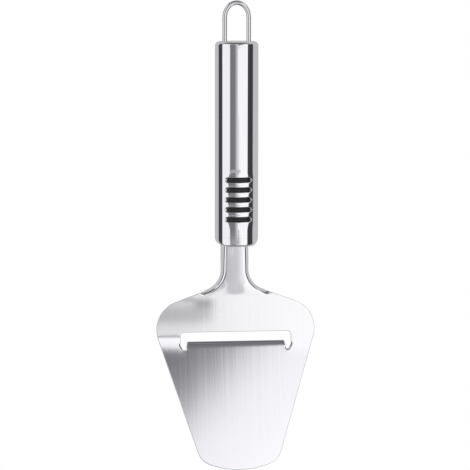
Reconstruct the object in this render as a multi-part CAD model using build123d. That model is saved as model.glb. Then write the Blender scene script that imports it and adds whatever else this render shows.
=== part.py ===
"""Cheese slicer: a stamped steel blade with a cross slot and a bent cutting lip, whose flanged neck runs on
as a flat tang into a tubular steel handle with pressed grooves, rubber inlays and a wire hanging loop.

All sizes are in millimetres and all angles in degrees. The slicer is modelled along its handle: +X is to
the right, +Y runs along the handle to the loop, +Z points out of the face that shows, and the origin is the
middle of the handle's front end. At the end every piece is laid down as the slicer lies on a table.
"""
from build123d import *
from math import asin, atan2, cos, degrees, hypot, radians, sin
import os

# Handle tube and its pressed end caps
handle_length = 103.0
handle_radius = 11.0
tube_wall = 0.7
cap_wall = 1.0
front_round = 4.0
rear_round = 2.0
cap_land = 0.4
spigot_length = 4.5
spigot_clearance = 0.1
spigot_round = 1.2
seam_gap = 0.05

# Grooves pressed into the face of the handle, with a rubber inlay in each
groove_count = 5
groove_pitch = 5.0
first_groove_place = 13.9
groove_width = 2.4
groove_span = 13.8
groove_depth = 0.8
inlay_clearance = 0.03
inlay_proud = 0.3
inlay_round = 0.25

# Hanging loop of round wire
wire_radius = 1.2
loop_spacing = 12.2
loop_height = 20.9
loop_arch_height = 7.6
loop_leg_inside = 7.0
wire_clearance = 0.05

# Blade sheet and its bends, with lengths measured along the upper face of the sheet
sheet = 1.0
face_drop = 3.0
neck_length = 27.9
upper_length = 22.6
shoulder_bend = 4.4
shoulder_bend_radius = 20.0
slot_bend = 11.7
slot_bend_radius = 69.0

# Blade outline, as half widths and as reaches along the sheet from the slot bend, towards loop or tip
neck_half = 7.0
neck_corner_reach = 29.6
shoulder_half = 44.6
shoulder_reach = 16.1
tip_corner_half = 20.0
tip_corner_reach = 60.3
tip_reach = 65.2
neck_corner_round = 10.6
shoulder_corner_round = 15.0
tip_corner_round = 10.0

# Side flanges, turned down from the edges of the neck
flange_depth = 5.0
flange_end_depth = 3.2
flange_end_half = 18.5
flange_end_width = 2.0
flange_bend_radius = 1.8

# Tang that runs from the neck into the handle
tang_half = 4.8
tang_length = 26.0
tang_clearance = 0.1
neck_gap = 0.1

# Slot, its end notches and the cutting lip, with reaches along the sheet from the slot bend
slot_half = 28.4
slot_top_reach = 5.4
slot_corner_round = 1.6
lip_half = 24.9
lip_edge_reach = 0.2
lip_angle = 17.0
notch_reach = 3.7
bevel_run = 1.3
edge_land = 0.12

# One overrun serves all cuts
overrun = 3.0

# Sizes that follow from the ones above
bore_radius = handle_radius - tube_wall
spigot_radius = bore_radius - spigot_clearance
front_seam = front_round + cap_land
rear_seam = handle_length - rear_round - cap_land
groove_floor_radius = handle_radius - groove_depth
upper_slope = shoulder_bend
lower_slope = shoulder_bend + slot_bend
slot_slope = (upper_slope + lower_slope) / 2


def end_cap(corner_radius):
    """A pressed cup with a rounded rim flush with the tube, and a spigot inside the tube, open towards +Y."""
    rim = corner_radius + cap_land
    inner_radius = spigot_radius - cap_wall
    section = make_face(
        Polyline(
            (0, 0),
            (handle_radius, 0),
            (handle_radius, rim),
            (spigot_radius, rim),
            (spigot_radius, rim + spigot_length),
            (inner_radius, rim + spigot_length),
            (inner_radius, cap_wall),
            (0, cap_wall),
            close=True,
        )
    )
    outer_corner = section.vertices().sort_by_distance((handle_radius, 0))[0]
    section = fillet(outer_corner, corner_radius)
    inner_corner = section.vertices().sort_by_distance((inner_radius, cap_wall))[0]
    section = fillet(inner_corner, spigot_round)
    return revolve(section, Axis.Y)


def front_cap():
    """The cup that closes the blade end, with the slot that the tang passes through."""
    tang_slot = Box(2 * (tang_half + tang_clearance), 2 * (cap_wall + overrun), sheet + 2 * tang_clearance)
    return end_cap(front_round) - Pos(0, 0, -face_drop - sheet / 2) * tang_slot


def rear_cap():
    """The cup that closes the loop end, turned to face +Y, with a hole for each leg of the loop."""
    cap = Pos(0, handle_length, 0) * Rot(0, 0, 180) * end_cap(rear_round)
    leg_hole = Rot(90, 0, 0) * Cylinder(wire_radius + wire_clearance, 2 * (cap_wall + overrun))
    for side in (-1, 1):
        cap -= Pos(side * loop_spacing / 2, handle_length, 0) * leg_hole
    return cap


def groove_places():
    """Middles of the grooves along the handle."""
    return [first_groove_place + groove_pitch * index for index in range(groove_count)]


def groove_block(place, growth, inner_radius, outer_radius):
    """The space of one groove, its outline grown by an amount, between two radii about the handle's axis."""
    width = groove_width + 2 * growth
    punch = extrude(SlotOverall(groove_span + 2 * growth, width), handle_radius + overrun)
    ring = Rot(90, 0, 0) * (Cylinder(outer_radius, width) - Cylinder(inner_radius, width))
    return Pos(0, place, 0) * (punch & ring)


def handle_tube():
    """A thin tube between the caps, with its wall pressed inwards at each groove."""
    length = rear_seam - front_seam - 2 * seam_gap
    wall = Rot(90, 0, 0) * (Cylinder(handle_radius, length) - Cylinder(bore_radius, length))
    tube = Pos(0, (rear_seam + front_seam) / 2, 0) * wall
    for place in groove_places():
        tube += groove_block(place, tube_wall, groove_floor_radius - tube_wall, bore_radius + tube_wall / 2)
    for place in groove_places():
        tube -= groove_block(place, 0, groove_floor_radius, handle_radius + overrun)
    return tube


def grip_inlay(place):
    """A rubber strip that fills a groove and stands a little proud of the tube, with a rounded top edge."""
    floor_radius = groove_floor_radius + inlay_clearance
    strip = groove_block(place, -inlay_clearance, floor_radius, handle_radius + inlay_proud)
    top_face = strip.faces().sort_by(Axis.Z)[-1]
    return fillet(top_face.edges(), inlay_round)


def hanging_loop():
    """Round wire bent to a U with a slightly pointed arch, whose legs run on through the rear cap."""
    half = loop_spacing / 2
    leg_end = handle_length - loop_leg_inside
    leg_top = handle_length + loop_height - wire_radius - loop_arch_height
    arch = EllipticalCenterArc((0, leg_top), half, loop_arch_height, arc_size=180)
    path = Wire([Line((half, leg_end), (half, leg_top)), arch, Line((-half, leg_top), (-half, leg_end))])
    section = Plane(origin=(half, leg_end, 0), z_dir=(0, 1, 0)) * Circle(wire_radius)
    return sweep(section, path=path)


def towards_tip(slope, length):
    """A step along a sheet that rises towards the tip at a slope, as (Y, Z)."""
    return Vector(-cos(radians(slope)), sin(radians(slope))) * length


def under(slope, depth):
    """A step square to a sheet at a slope, down from its upper face, as (Y, Z)."""
    return Vector(-sin(radians(slope)), -cos(radians(slope))) * depth


shoulder_place = Vector(-neck_length, -face_drop)
slot_place = shoulder_place + towards_tip(upper_slope, upper_length)


def side_line(depth):
    """The sheet seen from the side, from the tang to past the tip, at a depth under its upper face."""
    start = Vector(tang_length, -face_drop) + under(0, depth)
    shoulder = shoulder_place + under(shoulder_bend / 2, depth / cos(radians(shoulder_bend / 2)))
    slot = slot_place + under(slot_slope, depth / cos(radians(slot_bend / 2)))
    end = slot_place + towards_tip(lower_slope, tip_reach + overrun) + under(lower_slope, depth)
    radii = [shoulder_bend_radius + depth, slot_bend_radius + depth]
    return FilletPolyline(start, shoulder, slot, end, radius=radii)


def at_slot_bend(reach, depth):
    """A place inside the slot bend, from its reach along the sheet and its depth, and the slope there."""
    middle = slot_place - under(slot_slope, slot_bend_radius / cos(radians(slot_bend / 2)))
    slope = slot_slope - degrees(reach / slot_bend_radius)
    return middle + under(slope, slot_bend_radius + depth), slope


def from_side(points, half_width):
    """A prism across the slicer with an outline given as (Y, Z)."""
    return extrude(Plane.YZ * make_face(Polyline(*points, close=True)), half_width, both=True)


def along(reach):
    """Y of a place on the sheet from its reach from the slot bend, positive towards the loop."""
    if reach < 0:
        return (slot_place + towards_tip(lower_slope, -reach)).X
    if reach < upper_length:
        return (slot_place + towards_tip(upper_slope, -reach)).X
    return shoulder_place.X + reach - upper_length


def mirrored(point):
    """The same point on the left side."""
    return Vector(-point.X, point.Y)


def closed_plan(right_points):
    """A flat face from the points of its right side, which are repeated on the left."""
    left_points = [mirrored(point) for point in reversed(right_points)]
    return make_face(Polyline(*right_points, *left_points, close=True))


def rounded(plan, corner, radius):
    """The plan with a corner and its mirror image rounded."""
    for place in (corner, mirrored(corner)):
        plan = fillet(plan.vertices().sort_by_distance(place)[0], radius)
    return plan


def neck_side(inset):
    """Right side of the neck moved inwards: its end, its corner, and the direction of the shoulder line."""
    corner = Vector(neck_half, along(neck_corner_reach))
    run = (Vector(shoulder_half, along(shoulder_reach)) - corner).normalized()
    drop = inset * (1 + run.Y) / run.X
    return Vector(neck_half - inset, -neck_gap), corner - Vector(inset, drop), run


def blade_outline():
    """Plan of the blade: neck, rounded shoulders, sloping sides and a shallow curved tip, with the tang."""
    neck_end, neck_corner, _ = neck_side(0)
    shoulder_corner = Vector(shoulder_half, along(shoulder_reach))
    tip_corner = Vector(tip_corner_half, along(-tip_corner_reach))
    right = [neck_end, neck_corner, shoulder_corner, tip_corner]
    left = [mirrored(point) for point in reversed(right)]
    tip_curve = ThreePointArc(tip_corner, (0, along(-tip_reach)), mirrored(tip_corner))
    neck_line = Line(left[-1], right[0])
    outline = make_face([*Polyline(*right).edges(), tip_curve, *Polyline(*left).edges(), neck_line])
    outline = rounded(outline, neck_corner, neck_corner_round)
    outline = rounded(outline, shoulder_corner, shoulder_corner_round)
    outline = rounded(outline, tip_corner, tip_corner_round)
    tang = Pos(0, (tang_length - neck_half) / 2) * Rectangle(2 * tang_half, tang_length + neck_half)
    return outline + tang


def neck_plan(inset, end_half, end_width):
    """Plan of the neck and its fillets moved inwards, ending square to the shoulder lines at a half width."""
    neck_end, corner, run = neck_side(inset)
    outer_end = corner + run * ((end_half - corner.X) / run.X)
    inner_end = outer_end + Vector(run.Y, -run.X) * end_width
    plan = closed_plan([neck_end, corner, outer_end, inner_end])
    return rounded(plan, corner, neck_corner_round + inset), inner_end


def top_rims(block, inner_end):
    """Top edges of a neck block along the neck, its fillets and the shoulder lines, without its ends."""
    inner_ends = [Vertex(*inner_end), Vertex(*mirrored(inner_end))]
    top_edges = block.faces().sort_by(Axis.Z)[-1].edges()
    off_middle = [edge for edge in top_edges if abs((edge @ 0.5).X) > sheet]
    return [edge for edge in off_middle if min(edge.distance_to(end) for end in inner_ends) > sheet / 2]


def flanged_neck():
    """The neck with its edges turned down: rounded on top, hollow below, shallower at the shoulders."""
    plan, inner_end = neck_plan(0, flange_end_half, flange_end_width)
    block = extrude(plan, -flange_depth)
    block = fillet(top_rims(block, inner_end), flange_bend_radius)
    hollow_plan, hollow_end = neck_plan(sheet, flange_end_half + overrun, flange_end_width + overrun)
    hollow = extrude(hollow_plan, -flange_depth - overrun)
    hollow = fillet(top_rims(hollow, hollow_end), flange_bend_radius - sheet)
    end_place = along(neck_corner_reach) - (flange_end_half - neck_half)
    run_out = from_side(
        [
            (0, -flange_depth),
            (end_place, -flange_end_depth),
            (end_place, -flange_depth - overrun),
            (0, -flange_depth - overrun),
        ],
        flange_end_half + overrun,
    )
    return Pos(0, 0, -face_drop) * (block - Pos(0, 0, -sheet) * hollow - run_out)


def notch_middle():
    """How far from the middle of the blade each end notch of the slot lies."""
    return (slot_half + lip_half) / 2


def across_slot(plan):
    """A cutter through the sheet, square to it at the slot bend, from a plan drawn about the slot bend."""
    middle, _ = at_slot_bend(0, 0)
    rise = under(slot_slope, -1)
    bend_plane = Plane(origin=(0, middle.X, middle.Y), x_dir=(1, 0, 0), z_dir=(0, rise.X, rise.Y))
    return extrude(bend_plane * plan, sheet + overrun, both=True)


def notch_cuts():
    """The two narrow cuts with round ends, on either side of the cutting lip."""
    length = slot_top_reach + notch_reach
    notch = Rot(0, 0, 90) * SlotOverall(length, slot_half - lip_half)
    place = (slot_top_reach - notch_reach) / 2
    return across_slot(Pos(notch_middle(), place) * notch + Pos(-notch_middle(), place) * notch)


def slot_cut():
    """The long slot from the lip's edge to the slot's rounded top corners."""
    width = slot_top_reach - lip_edge_reach
    opening = Pos(0, (slot_top_reach + lip_edge_reach) / 2) * Rectangle(2 * slot_half, width)
    return across_slot(rounded(opening, Vector(slot_half, slot_top_reach), slot_corner_round))


def lip_section():
    """The cutting lip from the side, as (Y, Z): bent down at its root and ground on top to a thin edge."""
    root_top, slope = at_slot_bend(-notch_reach, 0)
    root_bottom, _ = at_slot_bend(-notch_reach, sheet)
    lip_slope = slope + lip_angle
    length = (notch_reach + lip_edge_reach) / cos(radians(lip_angle))
    edge = root_bottom + towards_tip(lip_slope, -length)
    bevel_top = root_top + towards_tip(lip_slope, bevel_run - length)
    return [root_top, bevel_top, edge + under(lip_slope, -edge_land), edge, root_bottom]


def lip_clearing():
    """The stretch of flat sheet between the notches that the bent lip takes the place of."""
    above, slope = at_slot_bend(-notch_reach, -overrun)
    below, _ = at_slot_bend(-notch_reach, sheet + overrun)
    step = towards_tip(slope, -notch_reach - (lip_edge_reach + slot_top_reach) / 2)
    return from_side([above, above + step, below + step, below], notch_middle())


def blade():
    """The whole stamping: bent sheet cut to its outline, slot, bent lip, flanged neck and tang."""
    top = side_line(0)
    bottom = side_line(sheet)
    section = make_face([*top.edges(), Line(top @ 1, bottom @ 1), *bottom.edges(), Line(bottom @ 0, top @ 0)])
    body = extrude(Plane.YZ * section, shoulder_half, both=True)
    body &= extrude(blade_outline(), handle_radius + overrun + tip_reach, both=True)
    neck_space, _ = neck_plan(0, flange_end_half, flange_end_width)
    body -= extrude(neck_space, handle_radius, both=True)
    body += flanged_neck()
    body -= slot_cut() + notch_cuts()
    body -= lip_clearing()
    body += from_side(lip_section(), notch_middle()) - notch_cuts()
    return body


def resting_slope():
    """Slope of the line that touches the lip's edge and the round front end of the handle from below."""
    edge = lip_section()[-2]
    round_middle = Vector(front_round, front_round - handle_radius)
    run = round_middle - edge
    return degrees(atan2(run.Y, run.X) - asin(front_round / hypot(run.X, run.Y)))


pieces = {
    "blade": blade(),
    "handle_tube": handle_tube(),
    "front_cap": front_cap(),
    "rear_cap": rear_cap(),
    "hanging_loop": hanging_loop(),
}
for index, place in enumerate(groove_places(), start=1):
    pieces[f"grip_inlay_{index}"] = grip_inlay(place)

# Laid on a table: the lip's edge and the front end of the handle rest on it, with the origin under the middle
laid = {name: Rot(-resting_slope(), 0, 0) * piece for name, piece in pieces.items()}
space = Compound([solid for piece in laid.values() for solid in piece.solids()]).bounding_box()
on_table = Pos(-space.center().X, -space.center().Y, -space.min.Z)
os.makedirs("parts", exist_ok=True)
for name, piece in laid.items():
    export_step(on_table * piece, f"parts/{name}.step")
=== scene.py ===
# %% [markdown]
# # A cheese slicer with a tubular steel handle
#
# The slicer is a stamped steel plate on a polished tube. Nothing on it moves, so this lesson is about two
# things: how a few clean surfaces are worked out with numpy, and how steel is made to look like steel by
# what stands around it. The packed model is the frame: it says where every piece is and how big it is.

# %% Load the frame
from math import atan2, cos, degrees, pi, radians, sin, tan

import bpy
import numpy as np
from mathutils import Euler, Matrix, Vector
from mathutils.geometry import delaunay_2d_cdt


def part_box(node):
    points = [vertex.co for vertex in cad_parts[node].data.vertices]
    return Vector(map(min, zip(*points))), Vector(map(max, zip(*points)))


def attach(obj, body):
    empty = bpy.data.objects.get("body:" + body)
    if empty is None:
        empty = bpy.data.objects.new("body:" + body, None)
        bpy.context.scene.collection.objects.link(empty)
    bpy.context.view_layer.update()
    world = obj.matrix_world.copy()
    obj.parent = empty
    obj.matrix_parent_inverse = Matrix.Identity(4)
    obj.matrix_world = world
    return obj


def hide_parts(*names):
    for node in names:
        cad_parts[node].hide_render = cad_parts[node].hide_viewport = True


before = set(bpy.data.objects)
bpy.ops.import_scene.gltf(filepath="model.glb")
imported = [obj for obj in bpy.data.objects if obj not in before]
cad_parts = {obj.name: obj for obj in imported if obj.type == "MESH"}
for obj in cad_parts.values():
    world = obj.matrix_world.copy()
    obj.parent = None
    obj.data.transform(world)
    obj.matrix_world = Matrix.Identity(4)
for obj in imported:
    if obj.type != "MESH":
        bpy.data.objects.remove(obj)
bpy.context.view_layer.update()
mm = 0.001
print("frame nodes:", ", ".join(sorted(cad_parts)))

# %% [markdown]
# ## Finding the handle's own axis
#
# The slicer lies on the table with its handle sloping up towards the loop. Everything on the handle is
# easier to write down along the tube: x across, y from the front end to the loop, z out of the face that
# shows. The slope could be typed in, but then the scene would drift away from the packed model as soon as
# that changes, so it is measured. The row of inlays runs parallel to the tube, so two of them give the
# slope. The front cap, turned back by that slope, gives the handle's radius and where its axis starts.

# %% Turn points about the x axis
def node_points(name):
    """All the corner points of one node's mesh, as rows of x, y, z in metres."""
    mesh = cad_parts[name].data
    flat = np.zeros(3 * len(mesh.vertices))
    mesh.vertices.foreach_get("co", flat)
    return flat.reshape(-1, 3)


def turned(points, angle):
    """The points turned about the x axis, so that +y moves towards +z.

    The new y is y cos(angle) - z sin(angle), and the new z is y sin(angle) + z cos(angle)."""
    x, y, z = np.moveaxis(np.asarray(points, float), -1, 0)
    return np.stack([x, y * cos(angle) - z * sin(angle), y * sin(angle) + z * cos(angle)], axis=-1)


print("front cap:", len(node_points("front_cap")), "points in the frame")

# %% Measure the handle in the frame
inlay_names = sorted(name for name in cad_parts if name.startswith("grip_inlay"))
first_inlay, last_inlay = (sum(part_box(name), Vector()) / 2 for name in (inlay_names[0], inlay_names[-1]))
handle_slope = atan2(last_inlay.z - first_inlay.z, last_inlay.y - first_inlay.y)

front_level = turned(node_points("front_cap"), -handle_slope) / mm
tube_radius = np.ptp(front_level[:, 0]) / 2
level_origin = np.array([0, front_level[:, 1].min(), front_level[:, 2].min() + tube_radius])


def level(points):
    """Points of the frame, in metres, as millimetres along the handle.

    They are turned back by the handle's slope, and the origin is taken away."""
    return turned(points, -handle_slope) / mm - level_origin


def laid(points):
    """Points in millimetres along the handle, as metres in the frame: `level` the other way round."""
    return turned(np.asarray(points, float) + level_origin, handle_slope) * mm


level_tube = level(node_points("handle_tube"))
tube_front, tube_rear = level_tube[:, 1].min(), level_tube[:, 1].max()
print(f"handle slope {degrees(handle_slope):.2f} degrees, radius {tube_radius:.2f} mm, "
      f"tube from {tube_front:.1f} to {tube_rear:.1f} mm")

# %% [markdown]
# ## Camera
#
# The photograph looks almost straight down, from far enough away that the plate hardly tapers. The object
# is turned a few degrees, so that a little more of its left side shows. The angles were found by laying the
# slicer's outline over the photograph's. The camera turns and the slicer stays, because the pieces have to
# stay in the packed model's own frame.

# %% Aim the camera
photo_span = 240 * mm
camera_distance = 1300 * mm
camera_tip, camera_turn, camera_roll = radians(-1.48), radians(7.43), radians(0.78)
aim = Vector((-0.04, 0.88, 5.87)) * mm

view = (Euler((0, 0, camera_roll)).to_matrix() @ Euler((0, camera_turn, 0)).to_matrix()
        @ Euler((camera_tip, 0, 0)).to_matrix()).transposed()
camera = bpy.data.objects.new("camera", bpy.data.cameras.new("camera"))
bpy.context.scene.collection.objects.link(camera)
camera.matrix_world = view.to_4x4()
camera.location = aim + view @ Vector((0, 0, camera_distance))
camera.data.sensor_width = 36
camera.data.lens = camera.data.sensor_width * camera_distance / photo_span
bpy.context.scene.camera = camera
bpy.context.scene.view_settings.view_transform = "Standard"
print(f"lens {camera.data.lens:.0f} mm, camera at", [round(v / mm) for v in camera.location])

# %% [markdown]
# ## Writing shaders as sums
#
# A shader graph is arithmetic, and drawn as boxes and wires it soon becomes hard to follow. So here it is
# written as arithmetic. `Number` wraps one socket and turns +, -, * and / into Math nodes. `Finish` holds
# one material's tree and makes any other node.

# %% Shader arithmetic
class Number:
    """One value in a shader tree. Arithmetic with other values or plain numbers adds Math nodes."""

    def __init__(self, finish, socket):
        self.finish = finish
        self.socket = socket

    def _math(self, operation, first, second):
        return self.finish.node("ShaderNodeMath", {"operation": operation}, {0: first, 1: second})

    def __add__(self, other):
        return self._math("ADD", self, other)

    def __sub__(self, other):
        return self._math("SUBTRACT", self, other)

    def __rsub__(self, other):
        return self._math("SUBTRACT", other, self)

    def __neg__(self):
        return self._math("MULTIPLY", self, -1)

    def __mul__(self, other):
        return self._math("MULTIPLY", self, other)

    def __truediv__(self, other):
        return self._math("DIVIDE", self, other)

    def __rtruediv__(self, other):
        return self._math("DIVIDE", other, self)

    __radd__ = __add__
    __rmul__ = __mul__


reflected = [name for name in vars(Number) if name.startswith("__r")]
print("also with the plain number first:", ", ".join(reflected))

# %% One material's tree
class Finish:
    """A material or world whose nodes are made from Python."""

    def __init__(self, owner):
        self.owner = owner
        owner.use_nodes = True
        self.tree = owner.node_tree
        self.tree.nodes.clear()

    def node(self, kind, settings=None, inputs=None, output=0):
        """Adds a node, sets its settings, then its sockets, and gives one of its outputs."""
        made = self.tree.nodes.new(kind)
        for name, value in (settings or {}).items():
            setattr(made, name, value)
        for name, value in (inputs or {}).items():
            if isinstance(value, Number):
                self.tree.links.new(value.socket, made.inputs[name])
            else:
                made.inputs[name].default_value = value
        return Number(self, made.outputs[output])

    def place(self):
        """The object coordinates x, y and z, in metres."""
        spot = self.node("ShaderNodeTexCoord", output="Object")
        return [self.node("ShaderNodeSeparateXYZ", {}, {0: spot}, output=axis) for axis in "XYZ"]

    def rise(self, value, low, high):
        """A smooth step that is 0 below low and 1 above high."""
        settings = {"interpolation_type": "SMOOTHSTEP"}
        return self.node("ShaderNodeMapRange", settings, {"Value": value, "From Min": low, "From Max": high})

    def blend(self, share, first, second):
        """A colour mixed from two others. Sockets 6 and 7 and output 2 are the Mix node's colours."""
        settings = {"data_type": "RGBA"}
        return self.node("ShaderNodeMix", settings, {0: share, 6: first, 7: second}, output=2)

    def layered(self, shade, value, layers):
        """Greys laid over a shade, one after another.

        A layer (low, high, tone, blue) covers what is under it as the value rises from low to high."""
        for low, high, tone, blue in layers:
            shade = self.blend(self.rise(value, low, high), shade, grey(tone, blue))
        return shade

    def surface(self, kind, inputs):
        """Adds the closing shader and joins it to the material's output."""
        closing = self.node(kind, {}, inputs)
        end = self.tree.nodes.new("ShaderNodeOutputMaterial")
        self.tree.links.new(closing.socket, end.inputs["Surface"])


# %% Greys and new materials
def grey(value, blue=0.0):
    """A grey as red, green, blue and alpha, from its shade on a screen (0 to 255), a little bluer if asked.

    A screen's shade s between 0 and 1 stands for the light ((s + 0.055) / 1.055) ** 2.4."""
    shades = np.array([value - blue / 2, value - blue, value + blue * 1.5]) / 255
    return (*(((shades + 0.055) / 1.055) ** 2.4), 1)


def new_material(name):
    """An empty material that is written in the cells below."""
    return Finish(bpy.data.materials.new(name))


print("middle grey as light:", [round(float(share), 3) for share in grey(128)])

# %% [markdown]
# ## Light tent
#
# Polished steel has no look of its own: it shows what stands around it. A photographer puts such a thing in
# a small tent and hangs white and black cards on its wall, and the bands along the handle are those cards.
# Area lights could stand in for the cards, but each would need its own size and place. The tent here is a
# dome close to the slicer, and its shade is written as a function of two angles seen from the slicer:
# `across`, from straight up towards the right, and `along`, from straight up towards the loop. A band is
# then one line.

# %% Angles on the tent wall
tent_radius = 800 * mm
tent_strength = 1.05

tent = new_material("tent_wall")
tent_x, tent_y, tent_z = tent.place()
to_degrees = 180 / pi
across = tent.node("ShaderNodeMath", {"operation": "ARCTAN2"}, {0: tent_x, 1: tent_z}) * to_degrees
along = tent.node("ShaderNodeMath", {"operation": "ARCSINE"}, {0: tent_y / tent_radius}) * to_degrees
print("tent of radius", tent_radius / mm, "mm")

# %% Cards beside the handle
# angles across, in degrees, where one card or wall ends and the next begins
black_left_from, black_left_to, white_left_to = -117, -87.5, -42
black_right_from, black_right_to = 52.5, 88.4
card_softness = 1.5


def card(left, right):
    """1 between two angles across the slicer, 0 outside them, with soft edges."""
    return (tent.rise(across, left - card_softness, left + card_softness)
            * (1 - tent.rise(across, right - card_softness, right + card_softness)))


black_left = card(black_left_from, black_left_to)
white_left = card(black_left_to, white_left_to)
black_right = card(black_right_from, black_right_to)
table_side = 1 - card(black_left_from, black_right_to)
left_width, right_width = black_left_to - black_left_from, black_right_to - black_right_from
print(f"black cards {left_width:.1f} and {right_width:.1f} degrees wide")

# %% Wall over the handle and the neck
# The handle's face mirrors one arc of the wall. `below` is how many degrees a spot lies from that arc
# towards the blade's end. The neck mirrors the strip of wall just past the arc.
arc_start, arc_swing = -7.8, 7.3
neck_from, neck_to = (-0.75, -0.4), (2.6, 4)

ahead = tent.node("ShaderNodeMath", {"operation": "COSINE"}, {0: across / to_degrees})
below = arc_start - ahead * arc_swing - along
over_neck = tent.rise(below, *neck_from) * (1 - tent.rise(below, *neck_to))

# each layer: from and to in degrees, its grey, and how blue it is
shade = tent.layered(grey(121, 2), across, [(-20, 4, 222, 1), (3, 8, 240, 1), (6, 14, 251, 1)])
neck_shade = tent.layered(grey(168, 2), across, [(-12, 6, 194, 2), (8.8, 19, 251, 1)])
shade = tent.blend(over_neck, shade, neck_shade)
print("tent wall so far:", len(tent.tree.nodes), "nodes")

# %% Dark end of the tent over the blade
# The lower blade mirrors a darker part of the tent, whose edge runs at a slant.
slant_start, slant_rate = 5, 1.05
blade_across, blade_along = (-1, 1.5), (-8, -6.8)

slant = along - (across - slant_start) * slant_rate
over_blade = tent.rise(across, *blade_across) * tent.rise(along, *blade_along)
dark_end = tent.layered(grey(249, 2), slant, [
    (-2, 6, 238, 2), (4, 8.5, 203, 2), (6.2, 10, 138, 2), (9.2, 12, 114, 2), (17, 24, 95, 2)])
shade = tent.blend(over_blade, shade, dark_end)
shade = tent.blend(white_left, shade, grey(243, 2))
print("tent wall so far:", len(tent.tree.nodes), "nodes")

# %% Ends of the tent, and its black cards
cards_end = (36, 46)
from_upright = tent.node("ShaderNodeMath", {"operation": "ABSOLUTE"}, {0: along})
past_cards = tent.rise(from_upright, *cards_end)
shade = tent.blend(past_cards, shade, grey(208, 1))
shade = tent.layered(shade, along, [(49, 56, 50, 1)])
shade = tent.layered(shade, -along, [(44, 52, 84, 1), (56, 64, 140, 1)])
shade = tent.blend(black_left * (1 - past_cards), shade, grey(66, 2))
shade = tent.blend(black_right * (1 - past_cards), shade, grey(62, 2))
shade = tent.blend(table_side, shade, grey(190, 1))
tent.surface("ShaderNodeEmission", {"Color": shade, "Strength": tent_strength})
print("tent wall:", len(tent.tree.nodes), "nodes")

# %% [markdown]
# ## Meshes from arrays
#
# Every new piece here is a grid of points worked out with numpy, so two helpers serve them all: one lists
# the quads of a grid, and the other turns points and faces into an object. The object stays at the origin,
# unturned, and its place is in its points, as it is with the packed model's own nodes. The dome of the tent
# is the first such grid. Blender's own sphere would do, but its poles would stand over the slicer.

# %% Grids of points made into meshes
def grid_faces(rows, columns, wrap=False):
    """Corner indices of the quads of a grid of points, row by row.

    With wrap, the last column joins the first."""
    index = np.arange(rows * columns).reshape(rows, columns)
    if wrap:
        index = np.concatenate([index, index[:, :1]], axis=1)
    return np.stack([index[:-1, :-1], index[:-1, 1:], index[1:, 1:], index[1:, :-1]], axis=-1).reshape(-1, 4)


def mesh_piece(name, points, faces, material, smooth=True):
    """A mesh object from an array of points in metres and a list or array of faces."""
    mesh = bpy.data.meshes.new(name)
    faces = faces.tolist() if isinstance(faces, np.ndarray) else faces
    mesh.from_pydata(np.asarray(points, float).reshape(-1, 3).tolist(), [], faces)
    mesh.validate()
    if smooth:
        mesh.shade_smooth()
    else:
        mesh.shade_flat()
    mesh.materials.append(material)
    piece = bpy.data.objects.new(name, mesh)
    bpy.context.scene.collection.objects.link(piece)
    return piece


print("a grid of 3 by 4 points has", len(grid_faces(3, 4)), "quads")

# %% The dome
tent_rows, tent_columns = 25, 49


def tent_points():
    """Points of a sphere about the slicer's middle.

    One angle runs round the y axis, the other from end to end: x is R sin(round) cos(end), y is R sin(end)
    and z is R cos(round) cos(end)."""
    round_y, end = np.meshgrid(np.linspace(0, 2 * pi, tent_columns), np.linspace(-pi / 2, pi / 2, tent_rows))
    x, z = np.sin(round_y) * np.cos(end), np.cos(round_y) * np.cos(end)
    return tent_radius * np.stack([x, np.sin(end), z], axis=-1)


dome = mesh_piece("light_tent", tent_points(), grid_faces(tent_rows, tent_columns), tent.owner)
dome.visible_camera = False
dome.visible_shadow = False
print("dome:", len(dome.data.polygons), "faces")

# %% [markdown]
# ## Grey card and table
#
# The left shoulder of the plate has a blurred grey patch. A flat plate mirrors only a few degrees of the
# tent, so it could be a tiny spot on the wall, but then it would hardly have a shape. A photographer's card
# held near the object throws such a patch, and so does this one, 300 mm above the table and seen only in
# reflections. The table is a plain white sheet. It is a surface, and not the background, because the slicer
# has to lie on something in every view.

# %% Grey card over the shoulders
card_height = 300 * mm
card_corners = np.array([(-20, -67), (24.3, -67), (24.3, -88.3), (-20, -88.3)]) * mm
# where on the card the camera sees the plate's own x = 0 and y = 0 mirrored, in mm
mirrored_x, mirrored_y = 39.1, -32.1
# a step on the plate is this much longer on the card, because the camera's rays spread
card_reach = 1 + card_height / camera_distance
# where on the plate the greys change, in mm
neck_zone, top_zone = (-46, -37), (-36.5, -34)
fade_from, fade_shift, fade_to = -22, 5, -4

shoulder_card = new_material("shoulder_card")
card_x, card_y = shoulder_card.place()[:2]
over_x = (card_x / mm - mirrored_x) / card_reach
over_y = (card_y / mm - mirrored_y) / card_reach
near_neck = shoulder_card.rise(over_y, *neck_zone)
fade = shoulder_card.rise(over_x, near_neck * fade_shift + fade_from, fade_to)
shade = shoulder_card.layered(grey(172, 1), over_x, [(-38, -20, 181, 1)])
top_shade = shoulder_card.layered(grey(212, 1), over_x, [(-22, -19.5, 128, 1)])
shade = shoulder_card.blend(shoulder_card.rise(over_y, *top_zone), shade, top_shade)
shade = shoulder_card.layered(shade, over_y, [(-41, -47, 236, 1)])
shade = shoulder_card.blend(fade, shade, grey(251, 1))
shoulder_card.surface("ShaderNodeEmission", {"Color": shade, "Strength": tent_strength})
print("shoulder card:", len(shoulder_card.tree.nodes), "nodes")

# %% Hang the card and lay the table
card_piece = mesh_piece("shoulder_card", [(x, y, card_height) for x, y in card_corners], [(0, 1, 2, 3)],
                        shoulder_card.owner, smooth=False)
card_piece.visible_camera = card_piece.visible_diffuse = card_piece.visible_shadow = False

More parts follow.
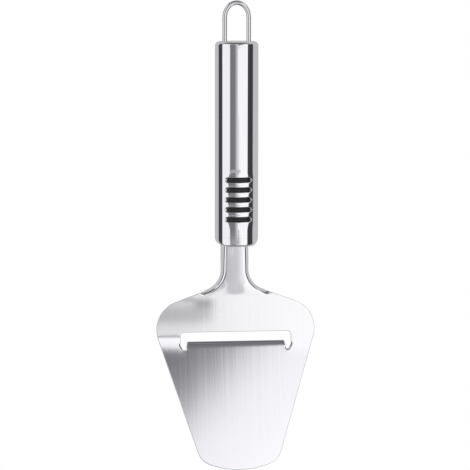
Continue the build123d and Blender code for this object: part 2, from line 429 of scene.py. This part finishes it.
table_half = 3.0
table_gap = 0.2 * mm
white_table = new_material("white_table")
white_table.surface("ShaderNodeEmission", {"Color": grey(255), "Strength": 1.0})
table_corners = [(x, y, -table_gap) for x, y in table_half * np.array([(-1, -1), (1, -1), (1, 1), (-1, 1)])]
table = mesh_piece("table", table_corners, [(0, 1, 2, 3)], white_table.owner, smooth=False)
table.visible_glossy = table.visible_diffuse = table.visible_shadow = False

world = Finish(bpy.data.worlds.new("white_room"))
bpy.context.scene.world = world.owner
background = world.node("ShaderNodeBackground", {}, {"Color": grey(255), "Strength": 1.0})
world.tree.links.new(background.socket, world.tree.nodes.new("ShaderNodeOutputWorld").inputs["Surface"])
print(f"card {card_height / mm:.0f} mm up, table {table_gap / mm:.1f} mm under the slicer")

# %% [markdown]
# ## Steel and rubber
#
# Four finishes cover the slicer. The handle is mirror polished: almost no roughness, and only a breath of
# wiping marks. The loop is drawn wire, a little duller. The blade is brushed along its length: a belt
# leaves long fine scratches, and each scratch tips the surface a little to the left or right. The streaks
# could be painted as lines of lighter and darker grey, but such lines stay where they are in every light.
# So they are a small tilt of the normal, made from noise that is stretched along y: they show only where
# the light changes, as real ones do. The rubber is black, with a satin skin.

# %% Stretched noise and a tilted normal
def stretched_noise(finish, across_scale, along_scale, detail):
    """Noise between 0 and 1 that changes fast across the slicer and slowly along it."""
    spot = finish.node("ShaderNodeTexCoord", output="Object")
    scale = {"Scale": (across_scale, along_scale, along_scale)}
    spot = finish.node("ShaderNodeMapping", {"vector_type": "POINT"}, {"Vector": spot, **scale})
    noise = {"Vector": spot, "Scale": 1.0, "Detail": detail, "Roughness": 0.6}
    return finish.node("ShaderNodeTexNoise", {}, noise)


def tilted_normal(finish, tilt):
    """The surface's normal plus a small step to the right, made one long again."""
    normal = finish.node("ShaderNodeNewGeometry", output="Normal")
    side = finish.node("ShaderNodeCombineXYZ", {}, {"X": tilt, "Y": 0.0, "Z": 0.0})
    tipped = finish.node("ShaderNodeVectorMath", {"operation": "ADD"}, {0: normal, 1: side})
    return finish.node("ShaderNodeVectorMath", {"operation": "NORMALIZE"}, {0: tipped})


# %% Polished steel and drawn wire
steel = new_material("polished_steel")
wiping = stretched_noise(steel, across_scale=900.0, along_scale=25.0, detail=3.0)
steel.surface("ShaderNodeBsdfPrincipled", {
    "Base Color": steel.blend(wiping, grey(243), grey(251)), "Metallic": 1.0,
    "Roughness": 0.035 + wiping * 0.03, "Normal": tilted_normal(steel, (wiping - 0.5) * 0.012)})

drawn = new_material("drawn_steel")
drawing = stretched_noise(drawn, across_scale=1500.0, along_scale=60.0, detail=2.0)
drawn.surface("ShaderNodeBsdfPrincipled", {
    "Base Color": drawn.blend(drawing, grey(232), grey(242)), "Metallic": 1.0,
    "Roughness": 0.14 + drawing * 0.05})
print("polished:", len(steel.tree.nodes), "nodes, drawn:", len(drawn.tree.nodes), "nodes")

# %% Brushed steel
brushed = new_material("brushed_steel")
scratches = stretched_noise(brushed, across_scale=2400.0, along_scale=9.0, detail=1.0)
broad = stretched_noise(brushed, across_scale=650.0, along_scale=4.0, detail=1.0)
brushed.surface("ShaderNodeBsdfPrincipled", {
    "Base Color": brushed.blend(scratches, grey(250), grey(255)), "Metallic": 1.0,
    "Roughness": 0.06 + scratches * 0.03,
    "Normal": tilted_normal(brushed, (scratches - 0.5) * 0.013 + (broad - 0.5) * 0.003)})
print("brushed:", len(brushed.tree.nodes), "nodes")

# %% Black rubber, and a finish for every node
rubber = new_material("black_rubber")
skin = rubber.node("ShaderNodeTexNoise", {}, {
    "Vector": rubber.node("ShaderNodeTexCoord", output="Object"), "Scale": 2500.0, "Detail": 3.0})
rubber.surface("ShaderNodeBsdfPrincipled", {
    "Base Color": rubber.blend(skin, grey(20), grey(34, 1)), "Roughness": 0.42 + skin * 0.12})

for name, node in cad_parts.items():
    finish = {"blade": brushed, "hanging_loop": drawn}.get(name, rubber if name in inlay_names else steel)
    node.material_slots[0].material = finish.owner
print("finishes:", ", ".join(finish.owner.name for finish in (steel, drawn, brushed, rubber)))

# %% [markdown]
# ## Handle tube
#
# The handle is a thin polished tube. Five grooves were pressed into its face, and the press drew the steel
# round them down a little as well, which is why the straight bands of light bend there. It could be a
# cylinder with grooves cut out of it, but a cut has hard edges. So the wall is written as one function, a
# radius for every angle and place along the tube, from which a soft dent is taken away.

# %% Sizes of the pressed grooves
# in mm, along the handle or along the arc of its face
groove_places = np.linspace(level(first_inlay)[1], level(last_inlay)[1], len(inlay_names))
groove_pitch = groove_places[1] - groove_places[0]
groove_half_length = 7.4
groove_half_width = 1.3
groove_depth = 0.85
groove_lip = 0.26
round_taper, point_taper = 1.4, 2.4
ridge_crown = 0.4
face_dent = 0.28
face_flat, face_edge = 3.4, 8.4
dent_margin = 1
wall = 0.7
print("grooves at", np.round(groove_places, 1), "mm")


# %% Steps and strips
def smooth_step(value, low, high):
    """0 below low, 1 above high, and between them the smooth S of share * share * (3 - 2 * share)."""
    share = np.clip((value - low) / (high - low), 0, 1)
    return share * share * (3 - 2 * share)


def strip_width(arc, half_length, half_width):
    """Half width of a strip along its arc: full in the middle, round at its left end, pointed at its right.

    Over the last stretch it is the full half width times (1 - past^2), raised to a half for the round end
    and nearly to one for the pointed end."""
    taper = np.where(arc < 0, round_taper, point_taper)
    past = np.clip((np.abs(arc) - half_length + taper) / taper, 0, 1)
    return half_width * (1 - past ** 2) ** np.where(arc < 0, 0.5, 0.9)


widths = strip_width(np.array([-6.0, 0.0, 6.0]), groove_half_length, groove_half_width)
print("groove half width left, middle, right:", np.round(widths, 2), "mm")


# %% The dent in the face
def dent(angle, place):
    """How deep the wall is pressed in, at an angle from the middle of the face and a place along the tube.

    A groove goes down along a smooth S at its edge. The ridges between the grooves are crowned, falling
    with the square of the distance from their crest, and a wide shallow dip lies under them all."""
    arc = angle * tube_radius
    depth = 0
    for middle in groove_places:
        past_edge = np.abs(place - middle) - strip_width(arc, groove_half_length, groove_half_width)
        past_end = np.abs(arc) - groove_half_length
        depth = np.maximum(depth, 1 - smooth_step(np.maximum(past_edge, past_end), -groove_lip, groove_lip))
    first, last = groove_places[0], groove_places[-1]
    grooved = smooth_step(place, first - groove_pitch, first - dent_margin)
    grooved = grooved * (1 - smooth_step(place, last + dent_margin, last + groove_pitch))
    grooved = grooved * (1 - smooth_step(np.abs(arc), face_flat, face_edge))
    from_crest = np.abs((place - first) % groove_pitch / groove_pitch - 0.5) * 2
    return np.maximum(groove_depth * depth, grooved * (face_dent + ridge_crown * from_crest ** 2))


print(f"deepest dent: {dent(0.0, groove_places).max():.2f} mm")


# %% Surface helpers
def finish_piece(piece, slot, *nodes):
    """Lets a new piece ride on the part in place of the frame's nodes. The slot is not used."""
    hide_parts(*nodes)
    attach(piece, "root")
    print(f"{piece.name}: {len(piece.data.polygons)} faces, in place of {', '.join(nodes)}")


def round_tube(angle, place, radius):
    """Points round the handle's axis: x is radius times sine of the angle, z is radius times its cosine."""
    return np.stack(np.broadcast_arrays(radius * np.sin(angle), place, radius * np.cos(angle)), axis=-1)


right_side_point = np.round(round_tube(pi / 2, tube_front, tube_radius), 1)
print("right side of the handle at its front seam:", right_side_point, "mm")

# %% Tube wall
# places and steps in mm along the handle, and half the face's width in degrees
fine_step, fine_margin = 0.13, 3.5
front_gap, front_join, front_rows = 0.9, 0.4, 12
rear_gap, rear_join, rear_rows = 2, 1, 16
end_rows = np.array([0, 0.04, 0.12, 0.4])
inside_skip = 6
face_half = 54
back_columns = 56
seam_depth, seam_width = 0.03, 0.13


def tube_points():
    """Rows run along the outside and back along the inside; each row goes once round the tube.

    The radius is the tube's, less the dent, and less a hair's breadth at the rear seam. Rows and columns
    stand close together only over the grooves and beside the seams."""
    fine = np.arange(groove_places[0] - fine_margin, groove_places[-1] + fine_margin, fine_step)
    before = np.linspace(tube_front + front_gap, fine[0] - front_join, front_rows)
    after = np.linspace(fine[-1] + rear_join, tube_rear - rear_gap, rear_rows)
    outside = np.concatenate([tube_front + end_rows, before, fine, after, tube_rear - end_rows[::-1]])
    back_along = outside[::-inside_skip]
    place = np.concatenate([outside, back_along, outside[:1]])[:, None]
    face = np.radians(np.arange(-face_half, face_half, 1.0))
    back = np.linspace(radians(face_half), radians(360 - face_half), back_columns, endpoint=False)
    angle = np.concatenate([face, back])[None, :]
    radius = tube_radius - dent((angle + pi) % (2 * pi) - pi, place)
    radius = radius - seam_depth * (1 - smooth_step(tube_rear - place, 0, seam_width))
    radius[len(outside):-1] -= wall
    return round_tube(angle, place, radius)


tube_grid = laid(tube_points())
tube = mesh_piece("handle_tube_pressed", tube_grid, grid_faces(*tube_grid.shape[:2], wrap=True), steel.owner)
finish_piece(tube, "handle_steel", "handle_tube")

# %% [markdown]
# ## Rubber inlays
#
# A strip of rubber lies in each groove. It is domed, stays just below the face of the handle, and has the
# groove's round left end and pointed right end. A stretched box with bevelled edges would be quick, but its
# ends would not follow the groove. So each strip is a row of rings, and their width comes from the same
# function as the groove's.

# %% Rings of a strip
inlay_half_length = 7.0
inlay_half_width = 1.12
inlay_height = 0.72
inlay_floor = tube_radius - groove_depth
inlay_sink = 0.05
end_half_width = 0.004
end_power, height_power, place_power = 5, 0.75, 0.6
strip_rings, ring_points = 61, 40


def inlay_points(middle):
    """Rings across the strip, from its round left end to its pointed right end, flat below and domed above.

    Along the arc the half width follows the groove's, and the height falls to nothing at both ends. Round
    each ring, place follows the cosine and height the sine, both raised to a power below one, which squares
    the shoulders."""
    arc = inlay_half_length * np.sin(np.linspace(-pi / 2, pi / 2, strip_rings))[:, None]
    round_ring = np.linspace(0, 2 * pi, ring_points, endpoint=False)[None, :]
    sine, cosine = np.sin(round_ring), np.cos(round_ring)
    width = strip_width(arc, inlay_half_length, inlay_half_width) + end_half_width
    top = inlay_height * np.clip(1 - np.abs(arc / inlay_half_length) ** end_power, 0, 1) ** 0.5
    rise = np.where(sine > 0, top * np.abs(sine) ** height_power, -inlay_sink * np.abs(sine))
    place = middle + width * np.sign(cosine) * np.abs(cosine) ** place_power
    return round_tube(arc / tube_radius, place, inlay_floor + rise)


print("one strip:", inlay_points(groove_places[0]).shape[:2], "rings and points")


# %% Close the strips
def closed_piece(name, grid, material, slot, node, turned_over=False):
    """A closed piece from rings of points.

    Quads join the rings, and a fan of triangles runs to the middle of each end ring."""
    count, ring = grid.shape[:2]
    index = np.arange(ring)
    first_fan = np.stack([np.full(ring, count * ring), np.roll(index, -1), index], axis=-1)
    last_fan = np.stack([np.full(ring, count * ring + 1), index + (count - 1) * ring,
                         np.roll(index, -1) + (count - 1) * ring], axis=-1)
    faces = grid_faces(count, ring, wrap=True).tolist() + first_fan.tolist() + last_fan.tolist()
    faces = [face[::-1] for face in faces] if turned_over else faces
    points = np.concatenate([grid.reshape(-1, 3), grid[[0, -1]].mean(axis=1)])
    finish_piece(mesh_piece(name, laid(points), faces, material), slot, node)


for name, middle in zip(inlay_names, groove_places):
    closed_piece(name + "_strip", inlay_points(middle), rubber.owner, "inlay_rubber", name)

# %% [markdown]
# ## Ends of the handle
#
# Each end is a thin cup set against the tube. Its edge is ground: only a little on the face, where the
# bands of light run nearly to the end, and more at the sides, where the outline has a soft corner. A Bevel
# modifier gives one radius all the way round. Here the corner's radius is a function of the angle round the
# handle instead.

# %% Rings of an end cap
cap_wall = 1.0
cap_columns = 120
corner_rings = 15
ground_from, ground_to = radians(42), radians(82)
# corners of the cup's inside: how far past its floor, and how far in from its rim
inside_corner = [(0, 1.6), (0.5, 0.3)]
# where the rings that keep the shading even stand, as shares or in mm
middle_share = np.array([0.02, 0.5])[:, None]
seam_rows = np.array([0.02, 0.08, 0.25])[:, None]
before_corner_share = np.array([0.4, 0.1, 0.02])[:, None]


def cap_points(end, inward, seam, face_round, side_round):
    """Rings of a cup: along its inside from the middle to the rim, and back along its outside.

    The corner is a quarter circle: depth is r - r sin(quarter) and the radius is R - r + r cos(quarter)."""
    angle = np.linspace(0, 2 * pi, cap_columns, endpoint=False)[None, :]
    from_face = np.abs((angle + pi) % (2 * pi) - pi)
    corner = face_round + (side_round - face_round) * smooth_step(from_face, ground_from, ground_to)
    quarter = np.linspace(0, pi / 2, corner_rings)[:, None]
    inner = tube_radius - cap_wall
    steps = [(cap_wall, inner * middle_share)]
    steps += [(cap_wall + lower, inner - in_by) for lower, in_by in inside_corner]
    steps += [(seam, inner), (seam, tube_radius), (seam - seam_rows, tube_radius),
              (corner + (seam - seam_rows[-1] - corner) * before_corner_share, tube_radius),
              (corner - corner * np.sin(quarter), tube_radius - corner * (1 - np.cos(quarter))),
              (0, (tube_radius - corner) * middle_share[::-1])]
    rings = [np.broadcast_arrays(depth, radius, angle)[:2] for depth, radius in steps]
    depth, radius = (np.concatenate(part) for part in zip(*rings))
    return round_tube(angle, end + inward * depth, radius)


# %% End caps
rear_end = 103.3
seam_gap = 0.02
front_seam, rear_seam = tube_front - seam_gap, rear_end - tube_rear - seam_gap
front_face_round, front_side_round = 1.4, 4.0
rear_face_round, rear_side_round = 1.9, 2.3

front_rings = cap_points(0, 1, front_seam, front_face_round, front_side_round)
rear_rings = cap_points(rear_end, -1, rear_seam, rear_face_round, rear_side_round)
closed_piece("front_cap_ground", front_rings, steel.owner, "handle_steel", "front_cap", turned_over=True)
closed_piece("rear_cap_ground", rear_rings, steel.owner, "handle_steel", "rear_cap")

# %% [markdown]
# ## Blade
#
# The blade is one sheet, 1 mm thick: a neck with rolled sides, two shoulders, a slot with a cutting lip,
# and a scoop that lifts towards its tip. It could be cut from a block with Booleans, but then its edges
# would be hard and its rolled sides hard to blend into the plate. Instead it is made as the press makes it.
# First the outline is drawn on the flat sheet. Then the rim is a short profile carried along that outline,
# which is a round edge round the plate and grows into a deep roll along the neck. The space inside is
# filled with small triangles. Last, the whole sheet is bent along its length.

# %% Sizes of the sheet
# in mm: x runs to the right, and reach runs from the slot's bend towards the handle
sheet = 1.0
slot_place = 50.5
neck_end = 0.1
edge_round = 0.3
lip_half, lip_edge = 25.0, 0.7
lip_zone = 2
bevel_side = 0.2
bevel_run, bevel_depth = 1.2, 0.27
under_run, under_depth = 2.2, 0.6
outline_step, slot_step = 0.7, 0.35
print(f"sheet {sheet} mm thick, cutting edge {2 * lip_half:.0f} mm long")


# %% Paths with rounded corners
def rounded_corners(corners, step):
    """A path through corners given as (x, y, radius), each rounded by an arc that touches both its sides.

    An arc's middle lies on the line that halves the corner, radius / sin(half angle) from it, and the arc's
    ends lie radius / tan(half angle) from the corner."""
    corners = np.array(corners, float)
    pieces = []
    for before, corner, after in zip(corners[:-2], corners[1:-1], corners[2:]):
        radius = corner[2]
        back, ahead = before[:2] - corner[:2], after[:2] - corner[:2]
        back, ahead = back / np.hypot(*back), ahead / np.hypot(*ahead)
        half = np.arccos(np.clip(back @ ahead, -1, 1)) / 2
        middle = corner[:2] + (back + ahead) / np.hypot(*(back + ahead)) * radius / sin(half)
        start = corner[:2] + back * radius / tan(half) - middle
        end = corner[:2] + ahead * radius / tan(half) - middle
        sweep = (atan2(end[1], end[0]) - atan2(start[1], start[0]) + pi) % (2 * pi) - pi
        share = np.linspace(0, 1, max(5, int(abs(sweep) * radius / step)))
        angle = atan2(start[1], start[0]) + sweep * share
        pieces.append(middle + radius * np.stack([np.cos(angle), np.sin(angle)], axis=-1))
    path = np.concatenate([corners[:1, :2]] + pieces + [corners[-1:, :2]])
    run = np.concatenate([[0], np.cumsum(np.hypot(*np.diff(path, axis=0).T))])
    keep = np.unique(np.concatenate([np.linspace(0, run[-1], int(run[-1] / step) + 1), run]))
    keep = keep[np.concatenate([[True], np.diff(keep) > step / 5])]
    return np.stack([np.interp(keep, run, path[:, axis]) for axis in (0, 1)], axis=-1)


def mirrored(corners):
    """The same corners on the other side, in the opposite order."""
    return [(-x, y, radius) for x, y, radius in corners[::-1]]


elbow = rounded_corners([(0, 0, 0), (10, 0, 2), (10, 10, 0)], 1)
print("an elbow with a 2 mm corner:", len(elbow), "points")

# %% Outline and slot on the flat sheet
# each corner: x, reach and the radius of its arc
right_side = [(7.3, slot_place - neck_end, 0), (7.3, 29.6, 10.6), (44.45, 16.1, 15.0), (19.9, -60.55, 10.0)]
tip = (0, -68.24, 43.0)
outline = rounded_corners(right_side + [tip] + mirrored(right_side), outline_step)

slot_top = (0, 5.4, 0)
slot_left = [(-28.4, 5.4, 1.9), (-28.4, -1.2, 2.0), (-27.1, -3.3, 0.8), (-26.0, -3.3, 0.7),
             (-lip_half, lip_edge, 0.6)]
slot_line = rounded_corners([slot_top] + slot_left + mirrored(slot_left) + [slot_top], slot_step)[:-1]
widest = np.abs(outline[:, 0]).max()
print(f"outline {len(outline)} points, slot {len(slot_line)} points, widest {widest:.2f} mm from the middle")


# %% Helpers for the rim
def to_the_left(path, closed):
    """Directions at right angles to a path, to the left of one who walks along it."""
    ahead = np.roll(path, -1, axis=0) - np.roll(path, 1, axis=0)
    if not closed:
        ahead[0], ahead[-1] = path[1] - path[0], path[-1] - path[-2]
    ahead /= np.hypot(*ahead.T)[:, None]
    return np.stack([-ahead[:, 1], ahead[:, 0]], axis=-1)


def ground_away(x, reach, run, depth):
    """How much a bevel takes off a face.

    It grows evenly to its depth over the last run before the lip's edge."""
    share = np.clip((reach - lip_edge + run) / run, 0, 1)
    return depth * share * (np.abs(x) < lip_half + bevel_side) * (reach < lip_zone)


print("ground off the lip's edge:", ground_away(0, lip_edge, bevel_run, bevel_depth), "mm above")

# %% Rim profile
rim_steps = 21
round_edge = np.radians([72, 54, 36, 18, 0, -30, -60])[None, :]


def rounded_edge(top, low, bulge):
    """Half an ellipse from the end of the top to the end of the under side: middle + half sin + bulge cos."""
    middle, half = (top[:, -1:] + low[:, -1:]) / 2, (top[:, -1:] - low[:, -1:]) / 2
    return middle + half * np.sin(round_edge) + bulge * np.cos(round_edge)


def rim(path, closed, roll, roll_length, length):
    """Rim of the sheet along a path, as points (x, reach, depth).

    From its start on the upper face the sheet's slope grows from 0 to the roll's angle in a smooth S. The
    profile is the running sum of the cosine and sine of that slope. Then comes a rounded edge, half an
    ellipse, and the under side, one thickness away along the normal."""
    along_sheet = np.linspace(0, 1, rim_steps)[None, :] * length[:, None]
    slope = roll[:, None] * smooth_step(along_sheet, 0, roll_length)
    step = length[:, None] / (rim_steps - 1)
    between = (slope[:, 1:] + slope[:, :-1]) / 2
    start = np.zeros((len(path), 1))
    top_out = np.concatenate([start, np.cumsum(np.cos(between) * step, axis=1)], axis=1)
    top_down = np.concatenate([start, np.cumsum(np.sin(between) * step, axis=1)], axis=1)
    low_out, low_down = top_out - sheet * np.sin(slope), top_down + sheet * np.cos(slope)
    side = to_the_left(path, closed)
    inset = np.maximum(top_out[:, -1] + edge_round * np.cos(slope[:, -1]), low_out.max(axis=1))
    base = path - side * inset[:, None]
    x, reach = np.moveaxis(base[:, None] + side[:, None] * top_out[..., None], -1, 0)
    top_down = top_down + ground_away(x, reach, bevel_run, bevel_depth)
    low_down = low_down - ground_away(x, reach, under_run, under_depth)
    edge_out = rounded_edge(top_out, low_out, edge_round * np.cos(slope[:, -1:]))
    edge_down = rounded_edge(top_down, low_down, edge_round * np.sin(slope[:, -1:]))
    out = np.concatenate([top_out, edge_out, low_out[:, ::-1]], axis=1)
    down = np.concatenate([top_down, edge_down, low_down[:, ::-1]], axis=1)
    return np.concatenate([base[:, None] + side[:, None] * out[..., None], down[..., None]], axis=-1)


# %% Rim of the outline
neck_low, neck_high = 20.0, 24.0
neck_half, shoulder_half = 14.0, 20.5
neck_roll, neck_roll_power = radians(68), 0.6
neck_roll_length = 2.9
plain_rim = 0.3
roll_run_top, roll_run_low, roll_run_fade = 5.9, 4.5, 23

past_neck = smooth_step(np.abs(outline[:, 0]), neck_half, shoulder_half)
on_neck = smooth_step(outline[:, 1], neck_low, neck_high) * (1 - past_neck)
roll_run = roll_run_top - (roll_run_top - roll_run_low) * (slot_place - outline[:, 1]) / roll_run_fade
outer_roll = neck_roll * on_neck ** neck_roll_power
outer_rim = rim(outline, False, outer_roll, neck_roll_length, plain_rim + on_neck * roll_run)
print("outer rim", outer_rim.shape)

# %% Rim of the slot
# the rims of the notches are pressed down, most of all on the right side of each notch
notch_from, notch_to = lip_half + 0.4, lip_half + 1.2
notch_roll, notch_roll_more = radians(40), radians(14)
notch_roll_length = 0.5
slot_rim_run, notch_rim_more = 0.06, 1.2

in_notch = smooth_step(np.abs(slot_line[:, 0]), notch_from, notch_to) * (slot_line[:, 1] < 0)
to_the_right = np.clip(-to_the_left(slot_line, True)[:, 0], 0, 1)
slot_roll = (notch_roll + notch_roll_more * to_the_right) * in_notch
slot_rim = rim(slot_line, True, slot_roll, notch_roll_length, slot_rim_run + notch_rim_more * in_notch)
print("slot rim", slot_rim.shape)


# %% Helpers for the fill
def inside(points, loop):
    """Whether points lie in a closed loop.

    A line from such a point to the right crosses the loop an odd number of times."""
    x, y = points[:, None, 0], points[:, None, 1]
    first, second = loop[None], np.roll(loop, -1, axis=0)[None]
    crosses = (first[..., 1] > y) != (second[..., 1] > y)
    rise = np.where(crosses, second[..., 1] - first[..., 1], 1)
    at_x = first[..., 0] + (y - first[..., 1]) * (second[..., 0] - first[..., 0]) / rise
    return (crosses & (x < at_x)).sum(axis=1) % 2 == 1


def staggered(x_reach, y_places, spacing):
    """Rows of points at the given y places, every other row moved by half a step."""
    x, y = np.meshgrid(np.arange(-x_reach, x_reach, spacing), y_places)
    return np.stack([x + spacing / 2 * (np.arange(len(y_places)) % 2)[:, None], y], axis=-1).reshape(-1, 2)


def nearest(points, others, parts=20):
    """Distance from each point to the nearest of the others, worked out in parts to save memory."""
    return np.concatenate([np.sqrt(((part[:, None] - others[None]) ** 2).sum(axis=-1)).min(axis=1)
                           for part in np.array_split(points, parts)])


print("the slot's middle lies in its line:", bool(inside(np.array([[0.0, 3.0]]), slot_line)[0]))

# %% Points between the rims
plate_half, plate_low, plate_high = 48, -66, 50
row_step, row_spacing = 1.25, 1.45
lip_rows_half, lip_spacing = lip_half - 0.6, 0.7
lip_middle, lip_reach = -1.5, 2.2
end_points = 9
plate_clear, lip_clear = 0.7, 0.2
bevel_start = lip_edge - bevel_run
lip_places = np.array([-3.2, -2.8, -2.4, -2.0, -1.6, -1.25, bevel_start - 0.1, bevel_start, bevel_start + 0.1,
                       -0.6, -0.3])

outer_loop, slot_loop = outer_rim[:, 0, :2], slot_rim[:, 0, :2]
across_end = np.linspace(outer_loop[-1], outer_loop[0], end_points)[1:-1]
rims = np.concatenate([outer_loop, slot_loop, across_end])
closed_outline = np.concatenate([outer_loop, across_end])

plate_rows = staggered(plate_half, np.arange(plate_low, plate_high, row_step), row_spacing)
lip_rows = staggered(lip_rows_half, lip_places, lip_spacing)
in_lip_rows = (np.abs(plate_rows[:, 0]) < lip_half) & (np.abs(plate_rows[:, 1] - lip_middle) < lip_reach)
plate_rows = plate_rows[~in_lip_rows]
plate_rows = plate_rows[nearest(plate_rows, rims) > plate_clear]
lip_rows = lip_rows[nearest(lip_rows, rims) > lip_clear]
print(len(plate_rows), "points on the plate,", len(lip_rows), "closer ones on the lip")


# %% Fill between the rims
def in_sheet(points):
    """Whether points lie inside the outline's rim and outside the slot's."""
    return inside(points, closed_outline) & ~inside(points, slot_loop)


merge_distance, least_area = 1e-7, 1e-4
fill_points = np.concatenate([plate_rows, lip_rows])
fill_points = np.concatenate([rims, fill_points[in_sheet(fill_points)]])
outer_count, slot_count, end_count = len(outer_loop), len(slot_loop), len(across_end)
outer_order = np.concatenate([np.arange(outer_count), outer_count + slot_count + np.arange(end_count)])
slot_order = outer_count + np.arange(slot_count)
loops = [np.stack([order, np.roll(order, -1)], axis=-1) for order in (outer_order, slot_order)]
edges = np.concatenate(loops)
made = delaunay_2d_cdt(list(map(Vector, fill_points.tolist())), edges.tolist(), [], 0, merge_distance)
source = np.array([origin[0] for origin in made[3]])
fill = source[np.array(made[2])]
side_1, side_2 = (fill_points[fill[:, k]] - fill_points[fill[:, 0]] for k in (1, 2))
area = side_1[:, 0] * side_2[:, 1] - side_1[:, 1] * side_2[:, 0]
fill[area < 0] = fill[area < 0][:, ::-1]
fill = fill[(np.abs(area) > least_area) & in_sheet(fill_points[fill].mean(axis=1))]
print(f"fill: {len(fill)} triangles on {len(fill_points)} points, {len(made[0]) - len(fill_points)} added")

# %% [markdown]
# ## Bending the sheet
#
# The plate has a shallow bend at the shoulders and a stronger one at the slot, and the cutting lip bends
# the other way. Simple Deform modifiers could bend it, but each bends a whole piece about one axis. Here
# the sheet's slope is written down along its length, and the running sum of the slope gives the line.

# %% Line of the bent sheet
sheet_drop = 3.0
shoulder_bend, shoulder_place, shoulder_run = radians(4.4), 26.5, 6
slot_bend, slow_run, sharp_run = radians(11.7), 13.0, 0.05
bend_before_slot_share = 1 / 3
line_places = np.linspace(-30, 125, 7751)


def sheet_line(place, slot_run):
    """Where the upper face is along the handle, how high, and its slope, by distance from the handle's front.

    The slope grows by each bend's angle over the bend's length, at the slot fast at first and then slower,
    with 1 - (1 - share)^2. The line is the running sum of the slope's cosine and sine."""
    shoulder = np.clip((line_places - shoulder_place) / shoulder_run + 0.5, 0, 1)
    share = np.clip((line_places - slot_place) / slot_run + bend_before_slot_share, 0, 1)
    slope = shoulder_bend * shoulder + slot_bend * (1 - (1 - share) ** 2)
    step = line_places[1] - line_places[0]
    y, z = -np.cumsum(np.cos(slope)) * step, np.cumsum(np.sin(slope)) * step
    y, z = y - np.interp(0, line_places, y), z - np.interp(0, line_places, z) - sheet_drop
    return np.stack([np.interp(place, line_places, values) for values in (y, z, slope)])


tip_line = sheet_line(slot_place - tip[1], slow_run)
print(f"tip {-tip_line[0]:.1f} mm ahead of the handle, sloping up by {degrees(tip_line[2]):.1f} degrees")

# %% Bend the sheet along its length
slow_from, slow_to = 24.5, 28.5
lip_bend, lip_root, lip_softness = radians(6), -1.4, 0.4
lip_side_from, lip_side_to = lip_half + 0.3, lip_half + 1.0
crown_height, crown_from, crown_to, crown_width = 0.4, 24.5, 33, 6


def bent(points):
    """Flat points (x, reach, depth) on the bent sheet, along the handle.

    Beside the slot the sheet bends slowly. Between the notches it keeps straight up to the lip, so there the
    line is the one with a sharp bend in the middle of the slot. The lip goes down with the tangent of its own
    angle past its root, with a soft start. The neck is crowned: it falls away from its middle by
    1 - exp(-x^2), with x in crown widths."""
    x, reach, depth = np.moveaxis(np.asarray(points, float), -1, 0)
    beside = smooth_step(np.abs(x), slow_from, slow_to)
    slow, sharp = sheet_line(slot_place - reach, slow_run), sheet_line(slot_place - reach, sharp_run)
    y, z, slope = sharp + (slow - sharp) * beside
    past_root = np.logaddexp(0, (reach - lip_root) / lip_softness) * lip_softness
    on_lip = (1 - smooth_step(np.abs(x), lip_side_from, lip_side_to)) * (reach < lip_zone)
    crown = crown_height * smooth_step(reach, crown_from, crown_to) * (1 - np.exp(-(x / crown_width) ** 2))
    depth = depth + tan(lip_bend) * past_root * on_lip + crown
    return np.stack([x, y - depth * np.sin(slope), z - depth * np.cos(slope)], axis=-1)


print("middle of the cutting edge:", np.round(bent([(0, lip_edge, 0)])[0], 1), "mm along the handle")

# %% Number the points of the sheet
def rim_index(first_inner, rows, columns, first_outer):
    """Point numbers of a rim: its first column is shared with the fill, the others follow it."""
    inner = first_inner + np.arange(rows)[:, None]
    return np.concatenate([inner, first_outer + np.arange(rows * (columns - 1)).reshape(rows, -1)], axis=1)


def rim_faces(index):
    """Quads between neighbouring points of a rim."""
    return np.stack([index[:-1, :-1], index[1:, :-1], index[1:, 1:], index[:-1, 1:]], axis=-1).reshape(-1, 4)


upper_ground = ground_away(*fill_points.T, bevel_run, bevel_depth)[:, None]
lower_ground = ground_away(*fill_points.T, under_run, under_depth)[:, None]
shared = outer_count + slot_count
upper = np.concatenate([fill_points, upper_ground], axis=1)
lower = np.concatenate([fill_points, sheet - lower_ground], axis=1)[shared:]
flat_points = np.concatenate([upper, lower, outer_rim[:, 1:].reshape(-1, 3), slot_rim[:, 1:].reshape(-1, 3)])
outer_first = len(upper) + len(lower)
slot_first = outer_first + outer_count * (outer_rim.shape[1] - 1)
outer_index = rim_index(0, *outer_rim.shape[:2], outer_first)
slot_index = rim_index(outer_count, *slot_rim.shape[:2], slot_first)
print(len(flat_points), "points on the flat sheet")

# %% Put the sheet together
lower_of = np.concatenate([outer_index[:, -1], slot_index[:, -1], len(upper) + np.arange(len(lower))])
lower_end = len(upper) + np.arange(end_count)[::-1]
cut_end = np.concatenate([outer_index[0], lower_end, outer_index[-1][::-1], shared + np.arange(end_count)])
blade_faces = fill.tolist() + lower_of[fill][:, ::-1].tolist() + rim_faces(outer_index).tolist()
blade_faces += rim_faces(np.concatenate([slot_index, slot_index[:1]])).tolist() + [cut_end.tolist()]
blade = mesh_piece("blade_sheet", laid(bent(flat_points)), blade_faces, brushed.owner)
finish_piece(blade, "blade_steel", "blade")

# %% [markdown]
# ## Sizes
#
# The scene's pieces are finer than the solids that they stand for, but they have to fill the same box.
